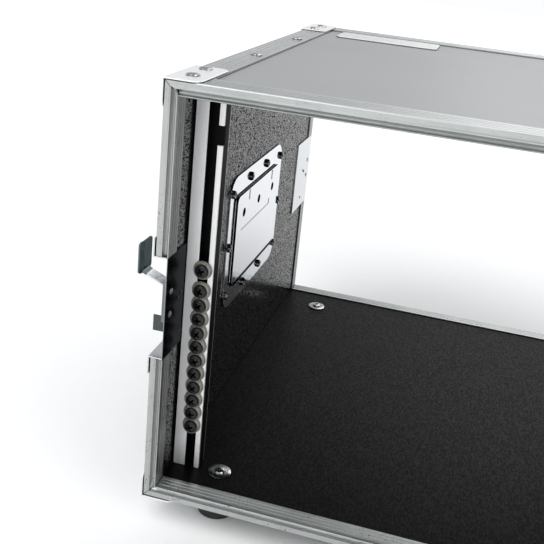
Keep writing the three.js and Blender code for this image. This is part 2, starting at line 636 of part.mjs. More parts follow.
// The bail: a bent rod with a moulded grip, hanging from the pins at its two ends.
function handleBail() {
  const route = new THREE.CurvePath();
  const top = new THREE.Vector3(BAIL_DEEP, -HANDLE_PAN_L / 2, BAIL_PIVOT_UP);
  const corner = new THREE.Vector3(BAIL_DEEP, -BAIL_HALF, BAIL_PIVOT_UP);
  const foot = new THREE.Vector3(BAIL_DEEP, -BAIL_HALF, BAIL_PIVOT_UP - BAIL_DROP);
  const points = [top, corner, foot];
  const all = [...points, ...points.slice().reverse().map((p) => new THREE.Vector3(p.x, -p.y, p.z))];
  let from = all[0];
  for (let i = 1; i < all.length - 1; i += 1) {
    const before = all[i].clone().sub(all[i - 1]).normalize();
    const after = all[i + 1].clone().sub(all[i]).normalize();
    const enter = all[i].clone().addScaledVector(before, -BAIL_BEND_R);
    const leave = all[i].clone().addScaledVector(after, BAIL_BEND_R);
    route.add(new THREE.LineCurve3(from, enter));
    route.add(new THREE.QuadraticBezierCurve3(enter, all[i], leave));
    from = leave;
  }
  route.add(new THREE.LineCurve3(from, all[all.length - 1]));
  const section = shapeOf(arcPoints([0, 0], BAIL_ROD_R, 0, 315, 7));
  const rod = new THREE.ExtrudeGeometry(section, { steps: 64, extrudePath: route, bevelEnabled: false });
  const grip = new THREE.CylinderGeometry(GRIP_R, GRIP_R, 2 * GRIP_HALF, 12)
    .translate(BAIL_DEEP, 0, BAIL_PIVOT_UP - BAIL_DROP);
  return join(rod, grip);
}

for (const side of SIDES) {
  const handle = new THREE.Group();
  handle.position.set(side.x * HALF_W, 0, -HANDLE_DROP);
  caseGroup.add(handle);
  const signs = [-side.x, 1, 1];
  addPiece(handle, `handle_dish_${side.name}`, mirrored(handleDish(), signs), ZINC);
  addPiece(handle, `handle_back_plate_${side.name}`, mirrored(handleBackPlate(), signs), ZINC);
  addPiece(handle, `handle_bail_${side.name}`, mirrored(handleBail(), signs), BLACK_STEEL);
}

// ---- label plate and feet ----------------------------------------------------------------------
function labelPlate() {
  const x0 = -HALF_W + LABEL_FROM_SIDE;
  const y1 = HALF_D - LABEL_FROM_REAR;
  const outline = [
    [x0 + LABEL_CUT, y1 - LABEL_W],
    [x0 + LABEL_L - LABEL_CUT, y1 - LABEL_W],
    [x0 + LABEL_L, y1 - LABEL_W + LABEL_CUT],
    [x0 + LABEL_L, y1 - LABEL_CUT],
    [x0 + LABEL_L - LABEL_CUT, y1],
    [x0 + LABEL_CUT, y1],
    [x0, y1 - LABEL_CUT],
    [x0, y1 - LABEL_W + LABEL_CUT],
  ];
  return prism(outline, LABEL_T).translate(0, 0, HALF_H - PANEL_OUT + FIT);
}

// A rubber foot under the floor panel, cut away where it passes under the rim's leaf.
function foot(end) {
  const top = FOOT_HEIGHT + PANEL_OUT - FIT;
  const profile = [
    [0, FOOT_SINK_D],
    [FOOT_SINK_R, FOOT_SINK_D],
    [FOOT_SINK_R, 0],
    [FOOT_R_GROUND - FOOT_ROUND, 0],
    [FOOT_R_GROUND, FOOT_ROUND],
    [FOOT_R, top],
    [0, top],
  ];
  const inset = end.y < 0 ? FOOT_BACK_FRONT : FOOT_BACK_REAR;
  const y = end.y * (HALF_D - inset);
  const body = new THREE.LatheGeometry(profile.map(([r, z]) => new THREE.Vector2(r, z)), 24)
    .rotateX(Math.PI / 2)
    .translate(-HALF_W + FOOT_IN, y, -HALF_H - FOOT_HEIGHT);
  const leafEdge = end.y * (HALF_D - RIM_FLANGE - FIT);
  const outside = end.y * (HALF_D + 1);
  const leaf = box([-HALF_W, Math.min(leafEdge, outside), -HALF_H - FIT],
    [0, Math.max(leafEdge, outside), -HALF_H + PANEL_OUT]);
  return cut(body, leaf);
}

addPiece(caseGroup, 'label_plate', labelPlate(), ZINC);
for (const end of ENDS) {
  for (const side of SIDES) {
    addPiece(caseGroup, `foot_${end.name}_${side.name}`, mirrored(foot(end), [-side.x, 1, 1]), RUBBER);
  }
}

const model = new THREE.Group();
model.add(caseGroup);

export default model;
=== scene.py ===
import json
import math

import bmesh
import bpy
from mathutils import Euler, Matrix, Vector


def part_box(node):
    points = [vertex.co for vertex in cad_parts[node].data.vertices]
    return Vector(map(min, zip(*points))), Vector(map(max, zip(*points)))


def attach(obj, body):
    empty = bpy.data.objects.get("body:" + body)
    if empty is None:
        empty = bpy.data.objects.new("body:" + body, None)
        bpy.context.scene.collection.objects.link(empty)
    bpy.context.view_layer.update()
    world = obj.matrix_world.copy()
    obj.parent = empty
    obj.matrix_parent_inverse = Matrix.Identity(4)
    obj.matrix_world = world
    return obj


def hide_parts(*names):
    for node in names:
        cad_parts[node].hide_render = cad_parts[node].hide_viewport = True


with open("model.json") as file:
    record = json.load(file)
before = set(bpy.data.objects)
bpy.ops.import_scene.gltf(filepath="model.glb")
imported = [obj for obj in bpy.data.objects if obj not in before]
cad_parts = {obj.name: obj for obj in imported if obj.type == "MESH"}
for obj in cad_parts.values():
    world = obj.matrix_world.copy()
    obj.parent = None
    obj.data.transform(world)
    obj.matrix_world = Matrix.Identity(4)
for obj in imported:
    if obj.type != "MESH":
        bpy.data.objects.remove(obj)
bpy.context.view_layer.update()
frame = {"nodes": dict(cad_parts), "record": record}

# ---- The picture ------------------------------------------------------------------------------
# The case stands on a pale studio floor under large soft lamps, seen from above the front left.
# None of this belongs to the case.


def put(tree, kind, inputs=None, **settings):
    """Adds a node. An input given as a socket is linked, any other value is set."""
    made = tree.nodes.new(kind)
    for key, value in settings.items():
        setattr(made, key, value)
    for key, value in (inputs or {}).items():
        if isinstance(value, bpy.types.NodeSocket):
            tree.links.new(value, made.inputs[key])
        else:
            made.inputs[key].default_value = value
    return made


def blank(name):
    """A new material: its tree, its shader and the object's own coordinates."""
    material = bpy.data.materials.new(name)
    material.use_nodes = True
    tree = material.node_tree
    shader = tree.nodes["Principled BSDF"]
    place = put(tree, "ShaderNodeTexCoord").outputs["Object"]
    return material, tree, shader, place


def noise(tree, place, scale, detail=4.0, rough=0.5, stretch=(1, 1, 1)):
    """Noise from 0 to 1; stretch squeezes the pattern along the axes with the larger numbers."""
    spot = put(tree, "ShaderNodeMapping", {"Vector": place, "Scale": stretch}).outputs[0]
    return put(tree, "ShaderNodeTexNoise", {"Vector": spot, "Scale": scale, "Detail": detail,
                                            "Roughness": rough}).outputs[0]


def between(tree, value, low, high, to_low=0.0, to_high=1.0):
    return put(tree, "ShaderNodeMapRange", {"Value": value, "From Min": low, "From Max": high,
                                            "To Min": to_low, "To Max": to_high},
               interpolation_type="SMOOTHSTEP").outputs[0]


def blend(tree, share, first, second):
    made = put(tree, "ShaderNodeMix", data_type="RGBA")
    tree.links.new(share, made.inputs[0])
    for slot, value in ((6, first), (7, second)):
        if isinstance(value, bpy.types.NodeSocket):
            tree.links.new(value, made.inputs[slot])
        else:
            made.inputs[slot].default_value = (*value, 1)
    return made.outputs[2]


paper, tree, shader, place = blank("studio_floor")
grain = noise(tree, place, 60)
tree.links.new(blend(tree, grain, (0.95, 0.95, 0.955), (0.98, 0.98, 0.98)), shader.inputs["Base Color"])
tree.links.new(between(tree, grain, 0, 1, 0.75, 0.9), shader.inputs["Roughness"])
# The floor glows, more the farther it lies from the case: painted light that keeps the far floor white.
far = put(tree, "ShaderNodeVectorMath", {0: place}, operation="LENGTH").outputs["Value"]
shader.inputs["Emission Color"].default_value = (1, 1, 1, 1)
tree.links.new(between(tree, far, 0.9, 3.0, 0, 0.42), shader.inputs["Emission Strength"])
bpy.ops.mesh.primitive_plane_add(size=14)
floor = bpy.context.object
floor.name = "studio_floor"
floor.data.materials.append(paper)

world = bpy.data.worlds.new("studio")
world.use_nodes = True
bpy.context.scene.world = world
tree = world.node_tree
sky = tree.nodes["Background"]
sky.inputs[0].default_value = (0.98, 0.99, 1.0, 1)
way = put(tree, "ShaderNodeTexCoord").outputs["Generated"]
height = put(tree, "ShaderNodeSeparateXYZ", {0: way}).outputs[2]
tree.links.new(between(tree, height, 0.02, 0.4, 1.0, 0.66), sky.inputs[1])

AIM = Vector((0, 0, 0.2))
LAMPS = (("key", (-0.9, -1.5, 2.3), 2.0, 34), ("fill", (1.9, -1.3, 1.2), 1.5, 17),
         ("back", (0.6, 2.2, 2.2), 2.0, 26))
for name, spot, size, power in LAMPS:
    data = bpy.data.lights.new(name, "AREA")
    data.shape = "SQUARE"
    data.size = size
    data.energy = power
    lamp = bpy.data.objects.new(name, data)
    lamp.location = spot
    lamp.rotation_euler = (AIM - Vector(spot)).to_track_quat("-Z", "Y").to_euler()
    bpy.context.collection.objects.link(lamp)

lens = bpy.data.cameras.new("camera")
lens.sensor_width = 36
lens.lens = 55.809
lens.shift_x = -0.04262
lens.shift_y = -0.09542
camera = bpy.data.objects.new("camera", lens)
camera.location = (-0.01041744, -0.86011282, 0.53694129)
camera.rotation_euler = Euler([math.radians(a) for a in (70.6888, -5.9103, 14.6529)])
bpy.context.collection.objects.link(camera)
bpy.context.scene.camera = camera
bpy.context.scene.view_settings.view_transform = "Standard"

# ---- Wall panels --------------------------------------------------------------------------------
# Four plywood boards, 9 mm thick, sawn to size and slid into the aluminium edging. The outside has a
# grey resin laminate, whose grey is partly painted reflection of the sheen on a darker board; the inside
# a dark brown phenolic film, painted darker than the film as painted shade inside the case; the floor's
# film has a mesh imprint.

SHEET_IN = 0.0018
BOARD = 0.009
MESH_PITCH = 0.0021
case_low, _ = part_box("edge_angle_bottom_left")
_, case_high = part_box("edge_angle_top_right")
side_out = case_high.x - SHEET_IN
middle_z = (case_low.z + case_high.z) / 2
roof_out = case_high.z - middle_z - SHEET_IN


def maths(tree, operation, *values):
    return put(tree, "ShaderNodeMath", dict(enumerate(values)), operation=operation).outputs[0]


def level(tree, share, first, second):
    """Between two plain values, as blend is between two colours."""
    return put(tree, "ShaderNodeMix", {0: share, 2: first, 3: second}, data_type="FLOAT").outputs[0]


def crevice(tree, reach, tight, loose):
    """1 in the joints between pieces and 0 out in the open, by how closed in each spot is: painted shade
    there, with the dirt that gathers there.
    """
    open_sky = put(tree, "ShaderNodeAmbientOcclusion", {"Distance": reach}, samples=8).outputs["AO"]
    return between(tree, open_sky, tight, loose, 1, 0)


def bump(tree, shader, height, strength, distance):
    made = put(tree, "ShaderNodeBump", {"Height": height, "Strength": strength, "Distance": distance})
    tree.links.new(made.outputs[0], shader.inputs["Normal"])


def board(name, mesh_imprint):
    material, tree, shader, place = blank(name)
    axes = put(tree, "ShaderNodeSeparateXYZ", {0: place}).outputs
    across = maths(tree, "SUBTRACT", maths(tree, "ABSOLUTE", axes[0]), side_out)
    upward = maths(tree, "SUBTRACT",
                   maths(tree, "ABSOLUTE", maths(tree, "SUBTRACT", axes[2], middle_z)), roof_out)
    depth = maths(tree, "MAXIMUM", across, upward)
    outside = between(tree, depth, -0.0009, -0.0007)
    inside = between(tree, depth, -BOARD + 0.0007, -BOARD + 0.0009, 1, 0)

    fine = noise(tree, place, 1500, 3)
    cloud = noise(tree, place, 9, 5)
    streak = noise(tree, place, 55, 6, 0.7, (1, 0.07, 1))
    scuff = between(tree, streak, 0.66, 0.74)
    # The grey stands partly for the laminate's own colour and partly for its sheen: painted reflection.
    grey = blend(tree, cloud, (0.24, 0.242, 0.251), (0.295, 0.297, 0.306))
    grey = blend(tree, maths(tree, "MULTIPLY", scuff, 0.16), grey, (0.5, 0.5, 0.51))
    pores = between(tree, noise(tree, place, 700, 2), 0.4, 0.6, 0, 0.22)
    grey = blend(tree, pores, grey, (0.2, 0.201, 0.208))
    speck = between(tree, noise(tree, place, 840, 3, 0.6, (1, 0.34, 1)), 0.42, 0.6)
    # The inside film is painted near-black, darker than the brown film itself: partly painted shade.
    brown = blend(tree, speck, (0.001, 0.001, 0.0009), (0.014, 0.0134, 0.0128))
    brown = blend(tree, between(tree, cloud, 0.4, 0.7, 0, 0.3), brown, (0.02, 0.019, 0.018))
    shine = level(tree, speck, 0.0, 0.5)
    inner_gloss = level(tree, speck, 0.24, 0.17)
    height = fine
    if mesh_imprint:
        pitch = 2 * math.pi / MESH_PITCH
        waves = [maths(tree, "SINE", maths(tree, "MULTIPLY", maths(tree, kind, axes[0], axes[1]), pitch))
                 for kind in ("ADD", "SUBTRACT")]
        imprint = maths(tree, "MULTIPLY", *waves)
        # The floor's film too is painted darker than its own colour: partly painted shade.
        brown = blend(tree, between(tree, imprint, -0.3, 0.9),
                      (0.0008, 0.0008, 0.0008), (0.005, 0.0052, 0.005))
        shine = level(tree, speck, 0.04, 0.085)
        inner_gloss = level(tree, speck, 0.42, 0.36)
        height = maths(tree, "ADD", fine, imprint)
    wave = noise(tree, place, 260, 2, 0.5, (1, 1, 7))
    ply = blend(tree, wave, (0.19, 0.11, 0.055), (0.42, 0.28, 0.16))
    colour = blend(tree, outside, blend(tree, inside, ply, brown), grey)
    # Painted shade, with some dirt: the crevices and joints between pieces are painted near-black.
    joint = crevice(tree, 0.006, 0.3, 0.75)
    tree.links.new(blend(tree, joint, colour, (0.004, 0.004, 0.004)), shader.inputs["Base Color"])
    tree.links.new(level(tree, outside, inner_gloss, 0.42), shader.inputs["Roughness"])
    shine = level(tree, outside, shine, 0.5)
    tree.links.new(level(tree, joint, shine, 0.02), shader.inputs["Specular IOR Level"])
    bump(tree, shader, height, 0.25, 0.00012)
    return material


def dress(node, material):
    mesh = frame["nodes"][node].data
    mesh.materials.clear()
    mesh.materials.append(material)


walls = board("laminate_walls", False)
for node in ("top_panel", "side_panel_left", "side_panel_right"):
    dress(node, walls)
dress("floor_panel", board("laminate_floor", True))

# ---- Opening rims, edge angles and rack rails -------------------------------------------------------
# Aluminium extrusions, sawn to length and riveted on: mill finish, drawn lines along the bar, knocked
# bright on the edges, with dirt near the ground. Painted shade darkens the crevices beside the ridge of
# the rims, the ribs of the edge angles, the rails' nut channels and the inner legs of the uprights.


def softened(node, width, material):
    """A copy of a CAD node with its sharp edges rounded, put in its place."""
    mesh = frame["nodes"][node].data.copy()
    form = bmesh.new()
    form.from_mesh(mesh)
    bmesh.ops.remove_doubles(form, verts=form.verts, dist=0.00001)
    bmesh.ops.dissolve_limit(form, angle_limit=math.radians(0.4), verts=form.verts, edges=form.edges)
    bmesh.ops.recalc_face_normals(form, faces=form.faces)
    sharp = [e for e in form.edges if e.is_manifold and e.calc_face_angle() > math.radians(38)]
    bmesh.ops.bevel(form, geom=sharp, offset=width, offset_type="OFFSET", segments=2, profile=0.5,
                    affect="EDGES", clamp_overlap=True)
    bmesh.ops.triangulate(form, faces=[f for f in form.faces if len(f.verts) > 4])
    form.to_mesh(mesh)
    form.free()
    mesh.polygons.foreach_set("use_smooth", [True] * len(mesh.polygons))
    piece = bpy.data.objects.new(f"{node}_formed", mesh)
    bpy.context.collection.objects.link(piece)
    even = piece.modifiers.new("even", "WEIGHTED_NORMAL")
    even.mode = "FACE_AREA"
    even.weight = 100
    piece.data = bpy.data.meshes.new_from_object(piece.evaluated_get(bpy.context.evaluated_depsgraph_get()))
    piece.modifiers.clear()
    piece.data.materials.clear()
    piece.data.materials.append(material)
    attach(piece, body_of[node])
    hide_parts(node)
    return piece


body_of = {n: body for body, nodes in frame["record"]["behaviour"]["bodies"].items() for n in nodes}


def metal(name, low, high, rough, drawn, dirt=0.0, worn=0.25):
    """Bare metal. drawn squeezes the lines of the surface across their own run."""
    material, tree, shader, place = blank(name)
    axes = put(tree, "ShaderNodeSeparateXYZ", {0: place}).outputs
    lines = noise(tree, place, 420, 5, 0.6, drawn)
    cloud = noise(tree, place, 22, 6, 0.6)
    knock = between(tree, noise(tree, place, 75, 8, 0.75, drawn), 0.6, 0.7)
    colour = blend(tree, cloud, low, high)
    colour = blend(tree, maths(tree, "MULTIPLY", knock, worn), colour, tuple(v * 0.45 for v in low))
    spots = between(tree, noise(tree, place, 480, 3, 0.6), 0.6, 0.66)
    patch = between(tree, noise(tree, place, 36, 4, 0.6), 0.46, 0.62)
    near_ground = between(tree, axes[2], 0.03, 0.42, 1.0, 0.35)
    grime = maths(tree, "MULTIPLY", maths(tree, "MULTIPLY", spots, patch),
                  maths(tree, "MULTIPLY", near_ground, dirt))
    colour = blend(tree, grime, colour, (0.07, 0.052, 0.038))
    # Painted shade, with some dirt: crevices and joints between pieces are painted nearly black.
    colour = blend(tree, crevice(tree, 0.0035, 0.3, 0.62), colour, (0.012, 0.011, 0.01))
    tree.links.new(colour, shader.inputs["Base Color"])
    shader.inputs["Metallic"].default_value = 1.0
    gloss = maths(tree, "ADD", between(tree, lines, 0.25, 0.75, rough - 0.07, rough + 0.09),
                  maths(tree, "MULTIPLY", grime, 0.4))
    tree.links.new(gloss, shader.inputs["Roughness"])
    bump(tree, shader, lines, 0.16, 0.00008)
    return material


SIDES = (("left", -1), ("right", 1))
ENDS = (("front", -1), ("rear", 1))
TIERS = ("top", "bottom")
upright_bar = metal("aluminium_upright", (0.37, 0.383, 0.379), (0.52, 0.53, 0.525), 0.34, (1, 1, 0.03), 1.0)
cross_bar = metal("aluminium_cross", (0.38, 0.4, 0.395), (0.56, 0.58, 0.575), 0.36, (0.03, 1, 1), 0.8)
depth_bar = metal("aluminium_depth", (0.42, 0.435, 0.44), (0.56, 0.575, 0.58), 0.32, (1, 0.03, 1), 0.5)
rail_bar = metal("aluminium_rail", (0.88, 0.885, 0.89), (0.94, 0.945, 0.95), 0.48, (1, 1, 0.03), 0.2, 0.04)


def darkened(material, share_of, colour, amount=1.0, slant=(0.42, 0.42, 0.42)):
    """Darkens the part of a material that share_of picks out from the three own coordinates."""
    tree = material.node_tree
    shader = tree.nodes["Principled BSDF"]
    own = put(tree, "ShaderNodeTexCoord").outputs["Object"]
    share = share_of(tree, put(tree, "ShaderNodeSeparateXYZ", {0: own}).outputs)
    bare = shader.inputs["Base Color"].links[0].from_socket
    share = maths(tree, "MULTIPLY", share, amount)
    tree.links.new(blend(tree, share, bare, colour), shader.inputs["Base Color"])
    tree.links.new(blend(tree, share, (1, 1, 1), slant), shader.inputs["Specular Tint"])


def band(tree, value, low, high, soft=0.0004):
    """1 from low to high and 0 outside."""
    return maths(tree, "MULTIPLY", between(tree, value, low - soft, low + soft),
                 between(tree, value, high - soft, high + soft, 1, 0))


RIB_PITCH = 0.0043
LINER_RIB_PITCH = 0.0075
LINER_IN = 0.0125
SLOT_NEAR, SLOT_FAR = 0.0021, 0.0147


def fine_ribs(tree, own):
    """Shallow ribs rolled along an edge angle, on the roof side by X and on the wall side by Z, painted
    as darker stripes: painted shade in their grooves.
    """
    run = maths(tree, "MAXIMUM", maths(tree, "ABSOLUTE", own[0]),
                maths(tree, "ABSOLUTE", maths(tree, "SUBTRACT", own[2], middle_z)))
    both = maths(tree, "ADD", maths(tree, "ABSOLUTE", own[0]), own[2])
    wave = maths(tree, "SINE", maths(tree, "MULTIPLY", both, 2 * math.pi / RIB_PITCH))
    edge = between(tree, run, 0.1, 0.12)
    return maths(tree, "MULTIPLY", edge, between(tree, wave, 0.1, 0.8, 0, 0.4))


darkened(depth_bar, fine_ribs, (0.1, 0.1, 0.1), 1.0, (1, 1, 1))
rail_bar.node_tree.nodes["Principled BSDF"].inputs["Metallic"].default_value = 0.75
face_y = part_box("rack_rail_left")[0].y
# The nut channel of each rail is painted near-black: painted shade inside the channel.
darkened(rail_bar, lambda tree, own: band(tree, own[1], face_y + SLOT_NEAR, face_y + SLOT_FAR),
         (0.008, 0.008, 0.008))
liner_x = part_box("rim_front_right_upper")[1].x - LINER_IN


def liner_ribs(tree, own):
    """The inner leg of an upright, painted dark all over as painted shade, darker still in the grooves
    between its ribs.
    """
    inner = between(tree, maths(tree, "ABSOLUTE", own[0]), liner_x - 0.0004, liner_x + 0.0004, 1, 0)
    wave = maths(tree, "SINE", maths(tree, "MULTIPLY", own[1], 2 * math.pi / LINER_RIB_PITCH))
    return maths(tree, "MULTIPLY", inner, between(tree, wave, -0.5, 0.4, 0.62, 0.97))


darkened(upright_bar, liner_ribs, (0.035, 0.033, 0.03))
for end, _ in ENDS:
    for tier in TIERS:
        softened(f"rim_{end}_{tier}", 0.00012, cross_bar)
    for side, _ in SIDES:
        for part in ("upper", "lower"):
            softened(f"rim_{end}_{side}_{part}", 0.00012, upright_bar)
for side, _ in SIDES:
    for tier in TIERS:
        softened(f"edge_angle_{tier}_{side}", 0.00012, depth_bar)
    softened(f"rack_rail_{side}", 0.00025, rail_bar)

# ---- Corner plates --------------------------------------------------------------------------------
# Eight pressed steel plates, zinc plated and smooth, folded round the case's corners over the ends of
# the edge angles and riveted through.

pressed = metal("zinc_pressed", (0.78, 0.785, 0.8), (0.86, 0.863, 0.87), 0.36, (1, 1, 0.6), 0.35, 0.15)
pressed.node_tree.nodes["Principled BSDF"].inputs["Metallic"].default_value = 0.6
for tier in TIERS:
    for end, _ in ENDS:
        for side, _ in SIDES:
            softened(f"corner_plate_{tier}_{end}_{side}", 0.0004, pressed)

# ---- Rivets -------------------------------------------------------------------------------------
# Steel tube rivets with domed heads, set with a hammer tool, so no two lie quite the same. They hold
# the corner plates, the edge angles and the flanges of the latches and handles to the boards.


def turned(name, profile, steps=28, lobes=0.0):
    """A closed body turned round Z from (radius, height) points that start and end on the axis."""
    points, faces, rings = [], [], []
    for radius, height in profile:
        count = 1 if radius < 1e-7 else steps
        rings.append(list(range(len(points), len(points) + count)))
        for i in range(count):
            angle = 2 * math.pi * i / steps
            reach = radius * (1 + lobes * math.cos(4 * angle))
            points.append((reach * math.cos(angle), reach * math.sin(angle), height))
    for low, high in zip(rings, rings[1:]):
        for i in range(steps):
            j = (i + 1) % steps
            if len(low) == 1:
                faces.append((low[0], high[j], high[i]))
            elif len(high) == 1:
                faces.append((low[i], low[j], high[0]))
            else:
                faces.append((low[i], low[j], high[j], high[i]))
    mesh = bpy.data.meshes.new(name)
    mesh.from_pydata(points, [], faces)
    mesh.polygons.foreach_set("use_smooth", [True] * len(mesh.polygons))
    mesh.set_sharp_from_angle(angle=math.radians(40))
    return bpy.data.objects.new(name, mesh)


def spread_tree():
    """Sets one piece on every point, facing the point's own way, with a little lean and turn."""
    tree = bpy.data.node_groups.new("set_on_points", "GeometryNodeTree")
    face = tree.interface
    face.new_socket("Points", in_out="INPUT", socket_type="NodeSocketGeometry")
    face.new_socket("Piece", in_out="INPUT", socket_type="NodeSocketObject")
    face.new_socket("Most lean", in_out="INPUT", socket_type="NodeSocketFloat")
    face.new_socket("Most turn", in_out="INPUT", socket_type="NodeSocketFloat")
    face.new_socket("Seed", in_out="INPUT", socket_type="NodeSocketInt")
    face.new_socket("Finish", in_out="INPUT", socket_type="NodeSocketMaterial")
    face.new_socket("Set pieces", in_out="OUTPUT", socket_type="NodeSocketGeometry")
    given = put(tree, "NodeGroupInput").outputs
    facing = put(tree, "GeometryNodeInputNamedAttribute", {"Name": "facing"}, data_type="FLOAT_VECTOR")
    aimed = put(tree, "FunctionNodeAlignRotationToVector", {"Vector": facing.outputs[0]}, axis="Z")
    most = put(tree, "ShaderNodeCombineXYZ", {0: given["Most lean"], 1: given["Most lean"],
                                              2: given["Most turn"]}).outputs[0]
    least = put(tree, "ShaderNodeVectorMath", {0: most, 1: (-1, -1, -1)}, operation="MULTIPLY").outputs[0]
    chance = put(tree, "FunctionNodeRandomValue", {0: least, 1: most, "Seed": given["Seed"]},
                 data_type="FLOAT_VECTOR").outputs[0]
    jitter = put(tree, "FunctionNodeEulerToRotation", {0: chance}).outputs[0]
    turn = put(tree, "FunctionNodeRotateRotation", {0: aimed.outputs[0], 1: jitter},
               rotation_space="LOCAL").outputs[0]
    piece = put(tree, "GeometryNodeObjectInfo", {"Object": given["Piece"]}).outputs["Geometry"]
    copies = put(tree, "GeometryNodeInstanceOnPoints", {"Points": given["Points"], "Instance": piece,
                                                        "Rotation": turn}).outputs[0]
    whole = put(tree, "GeometryNodeRealizeInstances", {0: copies}).outputs[0]
    done = put(tree, "GeometryNodeSetMaterial", {"Geometry": whole, "Material": given["Finish"]}).outputs[0]
    put(tree, "NodeGroupOutput", {0: done})
    return tree


set_on_points = spread_tree()


def spread(name, piece, spots, material, body, lean=0.0, turn=math.pi, seed=1):
    """Copies of a piece at (place, facing) spots, as one plain mesh riding on a body."""
    cloud = bpy.data.meshes.new(name)
    cloud.from_pydata([spot for spot, _ in spots], [], [])
    facing = cloud.attributes.new("facing", "FLOAT_VECTOR", "POINT")
    for i, (_, way) in enumerate(spots):
        facing.data[i].vector = way
    group = bpy.data.objects.new(name, cloud)
    bpy.context.collection.objects.link(group)
    bpy.context.collection.objects.link(piece)
    node = group.modifiers.new("set", "NODES")
    node.node_group = set_on_points
    values = {"Piece": piece, "Most lean": lean, "Most turn": turn, "Seed": seed, "Finish": material}
    for item in set_on_points.interface.items_tree:
        if item.name in values:
            node[item.identifier] = values[item.name]
    group.data = bpy.data.meshes.new_from_object(group.evaluated_get(bpy.context.evaluated_depsgraph_get()))
    group.modifiers.clear()
    bpy.data.objects.remove(piece)
    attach(group, body)
    return group


half_x, half_y = case_high.x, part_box("rim_rear_top")[1].y
rivet_steel = metal("rivet_steel", (0.26, 0.265, 0.27), (0.5, 0.51, 0.52), 0.2, (1, 1, 1), 1.4, 0.6)
DOME = ((0, -0.001), (0.0052, -0.001), (0.006, 0.0002), (0.0057, 0.0011), (0.0043, 0.0018),
        (0.0022, 0.0021), (0, 0.0022))
SKIN_OUT = 0.0015
PLATE_RIVETS = ((0.0147, 0.0241), (0.013, 0.0582))
PLATE_RIVET_DROP = 0.0145
ANGLE_RIVETS = (0.182, 0.339)
ANGLE_RIVET_IN = 0.019
rivets = []
for _, sx in SIDES:
    for up in (1, -1):
        face_z = middle_z + up * (case_high.z - middle_z)
        for _, ey in ENDS:
            for across, back in PLATE_RIVETS:
                y = ey * (half_y - back)
                rivets.append(((sx * (half_x - across), y, face_z + up * SKIN_OUT), (0, 0, up)))
                rivets.append(((sx * (half_x + SKIN_OUT), y, face_z - up * PLATE_RIVET_DROP), (sx, 0, 0)))
        for back in ANGLE_RIVETS:
            y = back - half_y
            rivets.append(((sx * (half_x - ANGLE_RIVET_IN), y, face_z), (0, 0, up)))
            rivets.append(((sx * half_x, y, face_z - up * ANGLE_RIVET_IN), (sx, 0, 0)))
spread("rivets_edging", turned("rivet", DOME), rivets, rivet_steel, "case", 0.05, seed=3)

# ---- Rack screws ----------------------------------------------------------------------------------
# Twelve black steel screws to a rail, with cross recesses, each through a milky plastic cup washer
# into its own sliding nut. They stay where they were last pushed, so the cups sit a little askew.

LOWEST_SCREW = 0.058
SCREW_PITCH = 0.0138
TOP_SCREW_APART = 0.0056
SCREW_HEIGHTS = [LOWEST_SCREW + SCREW_PITCH * i for i in range(12)]
SCREW_HEIGHTS[-1] += TOP_SCREW_APART
SLOT_OUT = 0.23255
RECESS = 0.0026


def recessed(name, profile, steps, arm, deep):
    """A turned head with a cross recess cut into its top."""
    head = turned(name, profile, steps)
    top = max(height for _, height in profile)
    form = bmesh.new()
    for width, length in ((RECESS, arm), (arm, RECESS)):
        block = bmesh.ops.create_cube(form, size=1)["verts"]
        for vertex in block:
            taper = 0.55 if vertex.co.z < 0 else 1.0
            vertex.co = Vector((vertex.co.x * width * taper, vertex.co.y * length * taper,
                                top + vertex.co.z * 2 * deep))
    mesh = bpy.data.meshes.new("cross")
    form.to_mesh(mesh)
    form.free()
    cross = bpy.data.objects.new("cross", mesh)
    for thing in (head, cross):
        bpy.context.collection.objects.link(thing)
    cutter = head.modifiers.new("recess", "BOOLEAN")
    cutter.operation = "DIFFERENCE"
    cutter.solver = "EXACT"
    cutter.use_self = True
    cutter.object = cross
    head.data = bpy.data.meshes.new_from_object(head.evaluated_get(bpy.context.evaluated_depsgraph_get()))
    head.modifiers.clear()
    bpy.data.objects.remove(cross)
    bpy.context.collection.objects.unlink(head)
    head.data.set_sharp_from_angle(angle=math.radians(30))
    # The recess is marked so that black_oxide paints it near-black without shine: painted shade.
    hollow = head.data.attributes.new("hollow", "FLOAT", "POINT")
    for i, vertex in enumerate(head.data.vertices):
        near, far = sorted((abs(vertex.co.x), abs(vertex.co.y)))
        cut = near < RECESS / 2 + 0.0001 and far < arm / 2 + 0.0001 and vertex.co.z < top - deep / 2
        hollow.data[i].value = 1.0 if cut else 0.0
    return head


black, tree, shader, place = blank("black_oxide")
worn = between(tree, noise(tree, place, 700, 5, 0.7), 0.58, 0.72)
hollow = put(tree, "ShaderNodeAttribute", attribute_name="hollow").outputs["Fac"]
coat = blend(tree, worn, (0.012, 0.012, 0.0125), (0.07, 0.07, 0.072))
# Painted shade: the recess marked hollow is painted near-black and loses its shine.
tree.links.new(blend(tree, hollow, coat, (0.001, 0.001, 0.001)), shader.inputs["Base Color"])
tree.links.new(between(tree, hollow, 0, 1, 0.5, 0), shader.inputs["Specular IOR Level"])
tree.links.new(between(tree, worn, 0, 1, 0.34, 0.5), shader.inputs["Roughness"])
shader.inputs["Metallic"].default_value = 0.35
bump(tree, shader, noise(tree, place, 2200, 3), 0.2, 0.00006)

milky, tree, shader, place = blank("cup_plastic")
stain = noise(tree, place, 160, 5, 0.6)
tree.links.new(blend(tree, stain, (0.13, 0.125, 0.11), (0.29, 0.28, 0.25)), shader.inputs["Base Color"])
tree.links.new(between(tree, stain, 0.3, 0.7, 0.28, 0.45), shader.inputs["Roughness"])
shader.inputs["Subsurface Weight"].default_value = 0.25
shader.inputs["Subsurface Radius"].default_value = (0.004, 0.003, 0.002)
shader.inputs["Subsurface Scale"].default_value = 0.5
bump(tree, shader, noise(tree, place, 900, 3), 0.15, 0.00006)

